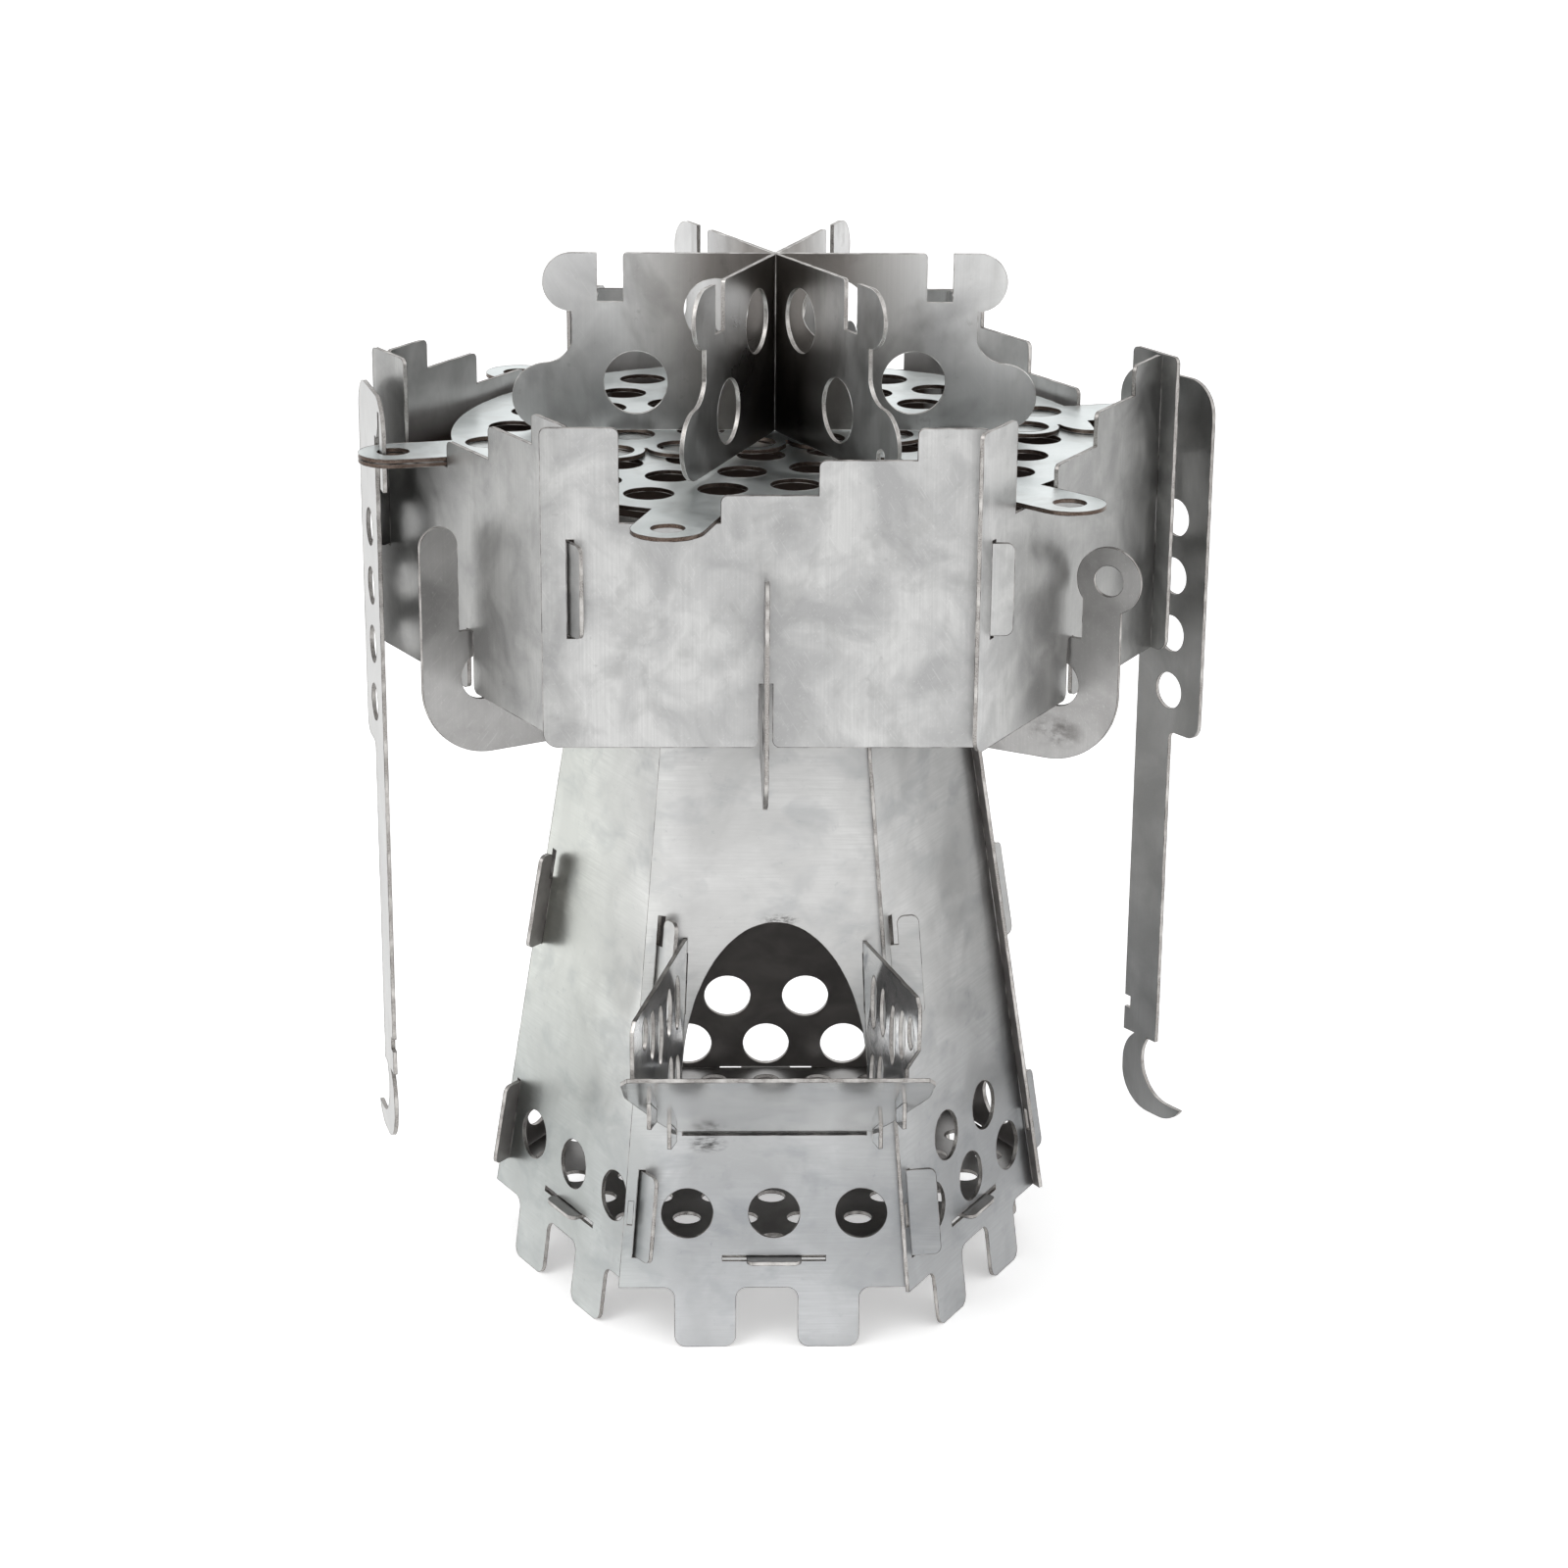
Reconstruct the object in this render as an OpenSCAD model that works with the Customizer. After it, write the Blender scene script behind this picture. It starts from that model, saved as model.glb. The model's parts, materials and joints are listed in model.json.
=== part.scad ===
// Flat-pack wood stove of laser-cut stainless sheet: a six-sided tower with a fuel chute, a six-sided
// fire box hung on it by six arms, two half grates, a crossed pot stand and two hooked tools.

/* [Sheet] */
// Thickness of every sheet
sheet = 1.2; // [1:0.1:2]
// Clearance on each side of a sheet in its slot
fit = 0.15; // [0.1:0.05:0.3]
// Clearance under a piece that lies loose on another
seat = 0.3; // [0.2:0.05:0.5]
// Corner radius of tabs, feet and other small corners
corner_r = 2.4; // [1:0.2:3]

/* [Tower] */
// Side of the six-sided tower at the ground
tower_foot_side = 92; // [86:1:100]
// Side of the six-sided tower at its rim
tower_rim_side = 55.4; // [52:0.2:62]
// Height of the tower
tower_h = 232; // [215:1:245]
// Height of the feet under the tower's lower edge
foot_h = 19.6; // [14:0.2:24]
// Width of one foot
foot_w = 19.3; // [14:0.1:22]
// Corner radius of the feet
foot_r = 3.6; // [1.5:0.1:5]
// Middle distance of a panel's two feet
foot_pitch = 39; // [32:0.5:44]
// Sideways offset of the pair of feet, which follows the middle of the cut blank
foot_shift = 2.2; // [0:0.1:4]
// Width of the strip outside a tower panel's slots
tower_margin = 4.6; // [4:0.1:7]
// Reach of the tower's tabs past the corner
tower_tab = 9.3; // [8:0.1:12]
// Diameter of the tower's draught holes
draught_d = 16.4; // [10:0.2:17]
// Middle distance of the draught holes
draught_pitch = 27.4; // [24:0.2:29]
// Height of the draught holes where a panel has one row
draught_z = 44; // [42:0.2:48]
// Height of the lower row where a panel has two rows
draught_low_z = 39.6; // [38.4:0.2:42]
// Rise from the lower to the upper row of draught holes
draught_rise = 19.4; // [15:0.2:21]

/* [Fuel opening and chute] */
// Half width of the fuel opening
arch_half_w = 29; // [24:0.5:30]
// Height of the sill of the fuel opening, along the panel
sill_z = 69.4; // [66:0.2:74]
// Height at which the opening starts to narrow, along the panel
arch_spring_z = 87; // [80:0.5:95]
// Height of the top of the fuel opening, along the panel
arch_top_z = 138; // [128:0.5:142]
// Rise of the chute plate, in degrees
chute_tilt = 38; // [30:1:45]
// Length of the chute plate outside the tower
chute_len = 62; // [45:1:75]
// Half width of the chute plate at its outer edge
chute_half_w = 47; // [44:0.5:52]
// Reach of the chute plate into the tower
chute_tongue = 7; // [4:0.5:12]
// Spread of each chute wall, in degrees
wall_spread = 16.5; // [12:0.5:18]
// Height of the top edge of the chute walls
wall_top_z = 131; // [129:0.5:134]
// Drop of the left wall's top edge toward its front
left_wall_drop = 6; // [0:0.5:7]
// Height above the plate at which the right wall's lower front corner starts to slant
right_wall_cut = 9.4; // [6:0.2:10]
// Width of the upright holes in the chute walls
wall_hole_w = 5.8; // [3:0.2:6.2]

/* [Floor grate] */
// Height of the underside of the floor grate
floor_z = 28.4; // [26:0.2:30]
// Diameter of the floor grate's holes
floor_hole_d = 9.2; // [5:0.2:12]
// Middle distance of the floor grate's holes
floor_pitch = 18.4; // [16:0.2:18.8]
// Width of the floor grate's tabs
floor_tab_w = 17.2; // [10:0.2:20]
// Reach of the floor grate's tabs past the tower
floor_tab_reach = 4.5; // [3:0.5:8]
// Width of the slots for the floor grate's tabs
floor_slot_w = 32.8; // [26:0.2:36]

/* [Fire box] */
// Side of the six-sided fire box
box_side = 121; // [118:0.5:126]
// Drop of the fire box's lower edge below the tower's rim
box_drop = 23.8; // [18:0.2:26]
// Height of a fire box panel
box_h = 95; // [88:0.5:105]
// Width of the strip outside a box panel's slot
box_margin = 8.4; // [6:0.2:10]
// Reach of the box tabs past the corner
box_tab = 6.6; // [5:0.2:9]
// Height of the box tabs
box_tab_h = 27.5; // [20:0.5:32]
// Height of the lower end of the box tabs above the box's lower edge
box_tab_z = 34; // [32:0.5:38]
// Width of one step of the stepped rim
step_w = 28; // [26:0.5:29]
// Distance of the deep notch's inner side from the middle of the panel
notch_in = 17.3; // [17:0.1:19]
// Depth of the notch for the ears
notch_depth = 27.8; // [24:0.2:32]
// Depth of the first step
step_a_depth = 19.6; // [17:0.2:22]
// Depth of the second step
step_b_depth = 9.3; // [6:0.1:12]
// Height of the slot for the arm in the box panel
arm_notch_h = 19.4; // [16:0.2:24]
// Width of the slot for the arm in the box panel
arm_notch_w = 4.2; // [2:0.2:6]

/* [Arms] */
// Reach of the arms past the middle of a box side
arm_reach = 17; // [13:0.2:23]
// Width of the arm's upright leg
arm_leg_w = 12.4; // [10:0.2:14]
// Drop of the arms' underside below the box's lower edge
arm_drop = 20.2; // [16:0.2:26]
// Rise of the top of a plain arm above the box's lower edge
arm_rise = 52.8; // [42:0.2:58]
// Radius of the arm's outer bend
arm_bend_r = 23; // [14:0.5:26]
// Outer radius of the eye on an arm
arm_eye_r = 10.4; // [8:0.2:12]
// Diameter of the hole in an arm's eye
arm_eye_d = 9.8; // [6:0.2:12]
// Rise of the middle of an arm's eye above the box's lower edge
arm_eye_rise = 38.6; // [34:0.2:48]
// Rise of the arm's top above the tower's rim
arm_hook_rise = 10; // [6:0.5:16]
// Diameter of the round hole in an arm, under the side of the box
arm_hole_d = 14.8; // [8:0.2:16]
// Distance of that hole's middle inward from the side of the box
arm_hole_in = 3.2; // [1:0.2:6]
// Height of that hole's middle above the box's lower edge
arm_hole_rise = 4.4; // [2:0.2:5]

/* [Grates] */
// Gap between the fire grate's rim and the middle of a box side
grate_gap = 3.8; // [3:0.2:12]
// Turn of the grate's seam from the side of the stove, in degrees
grate_turn = 14.4; // [12:0.2:17]
// Distance of the ear holes outward from the middle of a box side
ear_reach = 15.8; // [15.2:0.1:18]
// Radius of the ear ends
ear_end_r = 10.7; // [9:0.1:11]
// Diameter of the ear holes
ear_hole_d = 10; // [9.6:0.1:11]
// Diameter of the grate's holes
grate_hole_d = 15; // [8:0.2:17]
// Middle distance of the grate's holes
grate_pitch = 22.4; // [20:0.2:25]
// Distance of the first row of holes from the seam
row_start = 5.7; // [4:0.1:8]
// Width of the web round the holes at the scalloped edge
scallop_web = 3.2; // [2:0.1:5]

/* [Pot stand] */
// Height of the pot stand
stand_h = 55.5; // [48:0.5:62]
// Distance from the middle to the inner side of the pot slot
pot_slot_in = 47; // [44:0.2:49]
// Width of the pot slot
pot_slot_w = 8.2; // [6:0.2:10]
// Depth of the pot slot
pot_slot_depth = 14; // [10:0.2:18]
// Distance from the middle to the outer edge of the upper knob
knob_out = 72; // [70:0.5:76]
// Radius of the upper knob
knob_r = 9; // [8:0.2:9.8]
// Distance from the middle to the neck
neck_out = 62.6; // [60:0.2:65]
// Distance from the middle to the outer edge of the lower lobe
lobe_out = 81.8; // [78:0.2:86]
// Radius of the lower lobe
lobe_r = 10.5; // [8:0.1:12]
// Diameter of the stand's round holes
stand_hole_d = 20; // [12:0.5:21]
// Direction of the pot plate that runs to the back right, in degrees
rising_az = 69.5; // [50:0.5:70]
// Direction of the pot plate that runs to the front right, in degrees
falling_az = -64.5; // [-70:0.5:-50]

/* [Hooked tools] */
// Width of the tool's handle
handle_w = 29.3; // [26:0.1:34]
// Width of the tool's shank
shank_w = 15.6; // [12:0.2:18]
// Length of the tool's handle, from its top edge
handle_len = 116.9; // [110:0.1:124]
// Length of the whole tool
tool_len = 252.4; // [240:0.2:260]
// Height of the tools' upper end above the grate
tool_rise = 16; // [14:0.2:20]
// Width of the hanging tongue
tongue_w = 5; // [4:0.1:5.4]
// Length of the hanging tongue below the grate
tongue_drop = 9.4; // [6:0.2:12]
// Diameter of the handle's holes
handle_hole_d = 12.2; // [8:0.2:13]
// Middle distance of the handle's holes
handle_pitch = 19.2; // [17:0.1:21]
// Direction in which the left tool hangs, in degrees
left_tool_az = 104.5; // [104:0.5:118]
// Direction in which the right tool hangs, in degrees
right_tool_az = -55; // [-60:0.5:-40]
// Distance of a hanging tool's sheet from the middle of its eye
hang_side = 3.2; // [2.6:0.1:3.4]
// Corner radius of the handle's lower end
handle_r = 5; // [2:0.2:7]

/* [Hidden] */
$fn = 64;
over = 3;                                  // overrun of every cut
root3 = sqrt(3);
steel = [0.66, 0.67, 0.68];
dark_steel = [0.42, 0.42, 0.43];
bright_steel = [0.8, 0.82, 0.84];

// Tower panel, along its own slope
foot_half = tower_foot_side / 2;
rim_half = tower_rim_side / 2;
tower_tilt = atan(root3 * (foot_half - rim_half) / tower_h);
slope_len = tower_h / cos(tower_tilt);
corner_lean = atan((foot_half - rim_half) / slope_len);
tower_lift = sheet / 2 * sin(tower_tilt);
// Angle between the planes of two neighbouring tower panels, and of two box panels
tower_turn = acos(pow(cos(tower_tilt), 2) * cos(60) + pow(sin(tower_tilt), 2));
box_turn = 60;
function half_at(w) = foot_half + (rim_half - foot_half) * w / slope_len;
function wall_y(z) = root3 * (foot_half + (rim_half - foot_half) * z / tower_h);
function crossing(turn) = sheet * (1 + cos(turn)) / sin(turn);
tower_slot = crossing(tower_turn) + 2 * fit;
box_slot = crossing(box_turn) + 2 * fit;
tower_end = crossing(tower_turn) / 2 + fit;
box_end = crossing(box_turn) / 2 + fit;

// Tabs at the tower's corners, as heights along the panel
low_tab = [30, 58];
high_tab = [108, 131];
high_lip_top = 140;
lip_start = 2.6;
tab_play = 1;
window_w = 1.8;
window_h = 8;

// Chute
chute_y = wall_y(sill_z * cos(tower_tilt)) + sheet / 2;
chute_z = sill_z * cos(tower_tilt) + sheet / 2 / cos(chute_tilt) + sheet * tan(chute_tilt) + fit;
shoulder = 1.2;
chute_flare_shares = [[0.2, 0.3], [0.71, 0.94]];
chute_corner = 4;
wall_start = arch_half_w + sheet;
wall_reach = (chute_len - corner_r) * cos(chute_tilt) / cos(wall_spread);
wall_gap = sheet * sin(wall_spread) * tan(chute_tilt) + fit;
wall_tab_z = [108, 127];
wall_tab_reach = 6;
plate_tab_shares = [0.07, 0.5];
plate_tab_w = 6;
plate_tab_reach = 5.5;
left_front_share = 0.96;
right_front_share = 0.86;
right_foot_share = 0.65;
// Each upright hole: its distance along the wall, its middle's distance below the top, and its height
wall_hole_shares = [[0.05, 0.27, 0.3], [0.225, 0.27, 0.27], [0.41, 0.335, 0.33], [0.58, 0.28, 0.27],
    [0.735, 0.22, 0.18], [0.05, 0.7, 0.28], [0.2, 0.635, 0.23]];

// Floor grate
floor_mid_z = floor_z + sheet / 2;
floor_in = wall_y(floor_mid_z) - sheet - fit;
floor_slot_h = sheet + 4 * fit + sheet * sin(tower_tilt);
floor_rings = 4;

// Fire box
box_r = box_side * root3 / 2;
box_z = tower_h - box_drop;
box_top_z = box_z + box_h;
box_corner_r = 4.4;
rim_corner_r = 2;
flare_r = 2.2;
notch_out = notch_in + step_w + sheet;

// Arms
arm_out_r = box_r + arm_reach;
arm_bottom_z = box_z - arm_drop;
arm_top_z = box_z + arm_rise;
arm_eye_z = box_z + arm_eye_rise;
arm_hook_z = tower_h + arm_hook_rise;
arm_shift = box_margin / 2;
arm_cross_z = box_z + arm_notch_h;
arm_leg_in = arm_out_r - arm_leg_w;
hook_in = 8;
hook_mid_z = (tower_h + arm_bottom_z) / 2;
hook_slope_end = 18;
eye_shift = 2;
eye_out = arm_out_r - arm_leg_w / 2 + eye_shift;

// Grates
grate_r = box_r - grate_gap;
ear_r = box_r + ear_reach;
low_grate_z = box_top_z - notch_depth + seat;
high_grate_z = low_grate_z + sheet + seat;
row_rise = grate_pitch * root3 / 2;
grate_rim = 3;
stem_w = 2 * ear_end_r;

// Pot stand
stand_z = high_grate_z + sheet + seat;
cross_slot = crossing(min(rising_az, -falling_az, 180 - rising_az + falling_az)) + 2 * fit;
neck_share = 0.5;
lower_hole_shares = [0.53, 0.27];
upper_hole_shares = [0.225, 0.68];
hatch_w = 5;
hatch_h = 9;

// Hooked tools
tool_top_z = high_grate_z + sheet + tool_rise;
tool_low_z = tool_top_z - tool_len;
handle_low_z = tool_top_z - handle_len;
edge_a = ear_end_r + 3 * fit;
tongue_out = tongue_w / 2;
slit_w = 2;
slit_shoulder = 2.2;
slit_taper = 7;
slit_rise = 11.3;
tool_round = 12;
hook_round = 13;
nick_w = 2.7;
nick_h = 4.3;
nick_rise = 34;
handle_first = 13.6;
tip_w = 5.4;

// A rectangle from one corner to the other with round corners
module round_box(from, to, r) {
    translate([from[0] + r, from[1]]) square([to[0] - from[0] - 2 * r, to[1] - from[1]]);
    translate([from[0], from[1] + r]) square([to[0] - from[0], to[1] - from[1] - 2 * r]);
    for (x = [from[0] + r, to[0] - r], y = [from[1] + r, to[1] - r]) translate([x, y]) circle(r);
}

// A sheet cut to the flat shape given, with its middle plane at zero
module cut_sheet(thick = sheet) {
    linear_extrude(height = thick, center = true) children();
}

// The concave corner of a round fillet: what is left of a square outside a circle
module fillet(r) {
    difference() {
        translate([-sheet, -sheet]) square(r + sheet);
        translate([r, r]) circle(r);
    }
}

// Stands a flat tower panel in its place, number 0 in front, going anticlockwise seen from above
module on_tower(i) {
    rotate([0, 0, 60 * i]) translate([0, -root3 * foot_half, tower_lift])
        rotate([90 - tower_tilt, 0, 0]) children();
}

// The line of the tower corner on a panel: side -1 is the left one, 1 the right one
module at_corner(side) {
    translate([side * foot_half, 0]) rotate([0, 0, side * corner_lean]) children();
}

module tower_outline() {
    difference() {
        union() {
            polygon([
                [-half_at(foot_h) - tower_margin, foot_h],
                [half_at(foot_h) - tower_end, foot_h],
                [half_at(slope_len) - tower_end, slope_len],
                [-half_at(slope_len) - tower_margin, slope_len]]);
            for (s = [-1, 1]) translate([s * foot_pitch / 2 - foot_shift, 0]) foot();
            at_corner(1) corner_tabs();
        }
        at_corner(-1) corner_slots();
        translate([-arm_shift - sheet / 2 - fit, rim_notch_low()]) square([sheet + 2 * fit, slope_len]);
        floor_slot();
    }
}

// Height along the panel of the bottom of the slot in the rim for an arm
function rim_notch_low() = hook_mid_z / cos(tower_tilt) - 2 * fit;

module foot() {
    translate([-foot_w / 2, 0]) round_box([0, 0], [foot_w, foot_h + 2 * foot_r], foot_r);
    for (s = [-1, 1]) translate([s * foot_w / 2, foot_h])
        mirror([s < 0 ? 1 : 0, 0]) mirror([0, 1]) fillet(foot_r);
}

module corner_tabs() {
    round_box([-tower_end - corner_r, low_tab[0]], [tower_tab, low_tab[1]], corner_r);
    translate([-tower_end - sheet, low_tab[0]]) square([corner_r + sheet, low_tab[1] - low_tab[0]]);
    translate([-tower_end - sheet, high_tab[0]]) square([2 * corner_r, high_tab[1] - high_tab[0]]);
    round_box([-tower_end - corner_r, high_tab[0]], [tower_tab, high_tab[1]], corner_r);
    round_box([lip_start, high_tab[0]], [tower_tab, high_lip_top], corner_r);
}

module corner_slots() {
    translate([-tower_slot / 2, low_tab[0] - tab_play / 2])
        square([tower_slot, low_tab[1] - low_tab[0] + tab_play]);
    translate([-tower_slot / 2, high_tab[0] - tab_play / 2])
        square([tower_slot, high_lip_top - high_tab[0] + tab_play]);
    translate([-tower_slot / 2 - window_w - sheet / 2, (low_tab[0] + low_tab[1]) / 2 - window_h / 2])
        square([window_w, window_h]);
}

module floor_slot() {
    slot_mid = (floor_mid_z - tower_lift) / cos(tower_tilt);
    translate([-floor_slot_w / 2, slot_mid - floor_slot_h / 2]) square([floor_slot_w, floor_slot_h]);
}

module draught_holes(rows) {
    low = rows > 1 ? draught_low_z : draught_z;
    for (k = [-1 : 1]) translate([k * draught_pitch, low]) circle(d = draught_d);
    if (rows > 1) for (k = [-0.5, 0.5])
        translate([k * draught_pitch, low + draught_rise]) circle(d = draught_d);
}

// The fuel opening: straight jambs under half an ellipse
module fuel_arch() {
    rise = arch_top_z - arch_spring_z;
    steps = 48;
    polygon(concat(
        [[-arch_half_w, sill_z], [arch_half_w, sill_z]],
        [for (k = [0 : steps])
            [arch_half_w * cos(180 * k / steps), arch_spring_z + rise * sin(180 * k / steps)]]));
}

module tower_panel(i, rows) {
    color(steel) difference() {
        on_tower(i) cut_sheet() difference() {
            tower_outline();
            draught_holes(rows);
            if (i == 0) fuel_arch();
        }
        if (i == 0) for (s = [0, 1]) mirror([s, 0, 0]) on_wall()
            cut_sheet(sheet + 2 * fit) wall_rear_tab(fit);
    }
}

module tower_front() { tower_panel(0, 1); }
module tower_front_right() { tower_panel(1, 2); }
module tower_back_right() { tower_panel(2, 1); }
module tower_back() { tower_panel(3, 2); }
module tower_back_left() { tower_panel(4, 1); }
module tower_front_left() { tower_panel(5, 1); }

module floor_grate() {
    color(dark_steel) translate([0, 0, floor_mid_z]) cut_sheet() difference() {
        union() {
            circle(r = floor_in * 2 / root3, $fn = 6);
            for (i = [0 : 5]) rotate([0, 0, 60 * i]) floor_tab();
        }
        for (a = [-floor_rings : floor_rings], b = [-floor_rings : floor_rings])
            if (abs(a + b) <= floor_rings)
                translate([(a + b / 2) * floor_pitch, b * floor_pitch * root3 / 2]) circle(d = floor_hole_d);
    }
}

module floor_tab() {
    reach = wall_y(floor_mid_z) + floor_tab_reach;
    round_box([-floor_tab_w / 2, -reach], [floor_tab_w / 2, corner_r - floor_in], corner_r);
}

// The chute plate's own plane: x across, y outwards and up the slope
module on_chute() {
    translate([0, -chute_y, chute_z]) rotate([180 - chute_tilt, 0, 0]) children();
}

// The right wall's own plane: x outwards along the ground, y up
module on_wall() {
    translate([wall_start, -chute_y, 0]) rotate([0, 0, wall_spread - 90]) rotate([90, 0, 0]) children();
}

function plate_z(x) = chute_z + x * cos(wall_spread) * tan(chute_tilt) + sheet / 2 / cos(chute_tilt);
function wall_rear_x(z) = (wall_y(z) + sheet / 2 / cos(tower_tilt) - chute_y) / cos(wall_spread)
    + sheet / 2 * tan(wall_spread) + 2 * fit;

// Half width of the chute plate, from 0 at the walls' foot to 1 at its outer edge
function chute_half(share) = wall_start + sheet + (chute_half_w - wall_start - sheet) * share;

module chute_outline() {
    side = [for (p = chute_flare_shares) [chute_half(p[1]), chute_len * p[0]]];
    tongue_half = arch_half_w - 2 * fit;
    right = concat([[tongue_half, -chute_tongue], [tongue_half, shoulder], [chute_half(0), shoulder]],
        side, [[chute_half_w, chute_len - chute_corner], [chute_half_w - chute_corner / 2, chute_len]]);
    polygon(concat(right, [for (k = [len(right) - 1 : -1 : 0]) [-right[k][0], right[k][1]]]));
}

module chute_plate() {
    color(bright_steel) difference() {
        on_chute() cut_sheet() chute_outline();
        for (s = [0, 1]) mirror([s, 0, 0]) on_wall() cut_sheet(sheet + 2 * fit) wall_plate_tabs(fit);
    }
}

module wall_rear_tab(play) {
    root = wall_rear_x(wall_tab_z[0]);
    translate([root - wall_tab_reach - sheet - play, wall_tab_z[0] - play])
        square([wall_tab_reach + sheet + play + over, wall_tab_z[1] - wall_tab_z[0] + 2 * play]);
}

module wall_plate_tabs(play) {
    for (share = plate_tab_shares) {
        x = wall_reach * share;
        translate([x - play, plate_z(x) - plate_tab_reach - play])
            square([plate_tab_w + 2 * play,
                plate_tab_reach + plate_z(x + plate_tab_w) - plate_z(x) + sheet]);
    }
}

// A chute wall that ends at front, with its top edge dropping by that much toward the front
module wall_blank(front, drop) {
    slant = drop / front;
    polygon([
        [wall_rear_x(plate_z(0)), plate_z(0) + wall_gap],
        [front, plate_z(front) + wall_gap],
        [front, wall_top_z - drop - corner_r],
        [front - corner_r, wall_top_z - drop + slant * corner_r],
        [wall_rear_x(wall_top_z), wall_top_z - slant * wall_rear_x(wall_top_z)]]);
}

// What the right wall lacks at its lower front corner
module wall_corner_cut() {
    foot = wall_reach * right_foot_share;
    start_z = plate_z(foot) + right_wall_cut;
    polygon([
        [foot, plate_z(0)],
        [wall_reach + over, plate_z(0)],
        [wall_reach + over, start_z + wall_reach + over - foot],
        [foot, start_z]]);
}

module wall_holes() {
    wall_h = wall_top_z - plate_z(0);
    for (h = wall_hole_shares)
        translate([wall_reach * h[0], wall_top_z - wall_h * h[1]])
            scale([wall_hole_w, wall_h * h[2]]) circle(d = 1);
}

module chute_wall(front, drop, cut) {
    color(bright_steel) on_wall() cut_sheet() difference() {
        union() {
            difference() {
                wall_blank(front, drop);
                if (cut) wall_corner_cut();
            }
            wall_rear_tab(0);
            wall_plate_tabs(0);
        }
        wall_holes();
    }
}

module chute_wall_right() { chute_wall(wall_reach * right_front_share, 0, true); }
module chute_wall_left() {
    mirror([1, 0, 0]) chute_wall(wall_reach * left_front_share, left_wall_drop, false);
}

module on_box(i) {
    rotate([0, 0, 60 * i]) translate([0, -box_r, box_z]) rotate([90, 0, 0]) children();
}

module box_outline() {
    left = -box_side / 2 - box_margin;
    right = box_side / 2 - box_end;
    top = box_h;
    difference() {
        union() {
            translate([left + box_corner_r, 0]) square([right - left - box_corner_r, top - notch_depth]);
            translate([left, box_corner_r]) square([box_corner_r, top - box_corner_r - rim_corner_r]);
            translate([left + box_corner_r, box_corner_r]) circle(box_corner_r);
            round_box([left, box_corner_r], [-notch_out, top], rim_corner_r);
            round_box([-notch_in, box_corner_r], [right, top - step_a_depth], rim_corner_r);
            round_box([step_w - notch_in, box_corner_r], [right, top - step_b_depth], rim_corner_r);
            round_box([2 * step_w - notch_in, box_corner_r], [right, top], rim_corner_r);
            translate([right - 2 * rim_corner_r, box_corner_r])
                square([2 * rim_corner_r, top - notch_depth]);
            round_box([right - 2 * corner_r, box_tab_z],
                [box_side / 2 + box_tab, box_tab_z + box_tab_h], corner_r);
        }
        translate([-box_side / 2 - box_slot / 2, box_tab_z - tab_play])
            square([box_slot, box_tab_h + 2 * tab_play]);
        translate([-arm_shift, 0]) arm_notch();
    }
}

// The open slot for an arm in the lower edge of a box panel, with its mouth rounded
module arm_notch() {
    translate([-arm_notch_w / 2, -over]) square([arm_notch_w, over + arm_notch_h]);
    for (s = [0, 1]) mirror([s, 0]) translate([arm_notch_w / 2, 0]) difference() {
        translate([-over, -over]) square([over + flare_r, over + flare_r]);
        translate([flare_r, flare_r]) circle(flare_r);
    }
}

module box_panel(i) {
    color(steel) on_box(i) cut_sheet() box_outline();
}

module box_front() { box_panel(0); }
module box_front_right() { box_panel(1); }
module box_back_right() { box_panel(2); }
module box_back() { box_panel(3); }
module box_back_left() { box_panel(4); }
module box_front_left() { box_panel(5); }

// The arm's own plane: x outwards from the middle of the stove, y up
module arm_outline(eyed) {
    wall_low = wall_y(hook_mid_z);
    difference() {
        union() {
            polygon([
                [wall_y(arm_bottom_z) - hook_in, arm_bottom_z + hook_in],
                [wall_y(arm_bottom_z), arm_bottom_z],
                [arm_out_r - arm_bend_r, arm_bottom_z],
                [arm_out_r - arm_bend_r, arm_cross_z],
                [wall_low + hook_slope_end + hook_in, arm_cross_z],
                [wall_low + hook_slope_end, arm_hook_z - 2 * corner_r],
                [wall_low + hook_slope_end - 2 * corner_r, arm_hook_z],
                [wall_low - hook_in, arm_hook_z]]);
            intersection() {
                translate([arm_out_r - arm_bend_r, arm_bottom_z + arm_bend_r]) circle(arm_bend_r);
                translate([arm_out_r - arm_bend_r, arm_bottom_z]) square(arm_bend_r);
            }
            translate([arm_out_r - arm_bend_r, arm_bottom_z + arm_bend_r])
                square([arm_bend_r, arm_cross_z - arm_bottom_z - arm_bend_r]);
            translate([arm_leg_in, arm_cross_z - corner_r])
                square([arm_leg_w, (eyed ? arm_eye_z : arm_top_z - arm_leg_w / 2) - arm_cross_z + corner_r]);
            if (eyed) translate([eye_out, arm_eye_z]) circle(arm_eye_r);
            if (!eyed)
                translate([arm_out_r - arm_leg_w / 2, arm_top_z - arm_leg_w / 2]) circle(arm_leg_w / 2);
        }
        if (eyed) translate([eye_out, arm_eye_z]) circle(d = arm_eye_d);
        translate([box_r - arm_hole_in, box_z + arm_hole_rise]) circle(d = arm_hole_d);
        rim_slot();
    }
}

// The slot by which an arm straddles the tower's leaning wall
module rim_slot() {
    half = sheet / 2 / cos(tower_tilt) + fit;
    low = arm_bottom_z - over;
    polygon([
        [wall_y(low) - half, low],
        [wall_y(low) + half, low],
        [wall_y(hook_mid_z) + half, hook_mid_z],
        [wall_y(hook_mid_z) - half, hook_mid_z]]);
}

module arm(i, eyed) {
    color(steel) rotate([0, 0, 60 * i - 90]) translate([0, -arm_shift, 0]) rotate([90, 0, 0])
        cut_sheet() arm_outline(eyed);
}

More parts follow.
